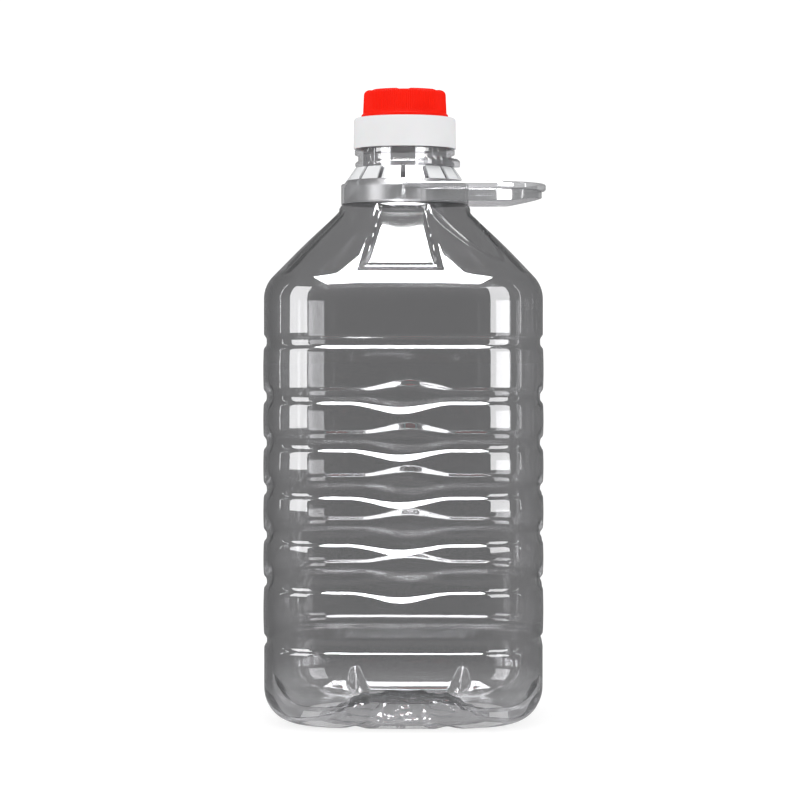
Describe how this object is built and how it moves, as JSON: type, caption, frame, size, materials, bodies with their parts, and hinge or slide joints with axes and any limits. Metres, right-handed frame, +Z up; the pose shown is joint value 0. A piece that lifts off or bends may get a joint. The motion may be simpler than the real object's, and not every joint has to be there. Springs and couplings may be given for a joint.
{
  "type": "plastic oil jug",
  "caption": "Clear square plastic jug with grip grooves, a sloped shoulder, a clip-fit carrying handle and a screw collar with a small top cap.",
  "frame": {"origin": "centre of the base on the surface that the jug stands on", "axes": "+Z up through the cap, -Y out of the front face, +X towards the handle's loop"},
  "size_m": [0.1515, 0.1502, 0.3387],
  "materials": {
    "clear_wall": "clear, polished, slightly smoky",
    "handle": "clear, slightly milky",
    "collar": "smooth white",
    "top_cap": "smooth bright red with fine upright ribs"
  },
  "bodies": {
    "root": {"jug": "clear_wall", "handle": "handle", "collar_cap": "collar", "top_cap": "top_cap"}
  },
  "joints": []
}
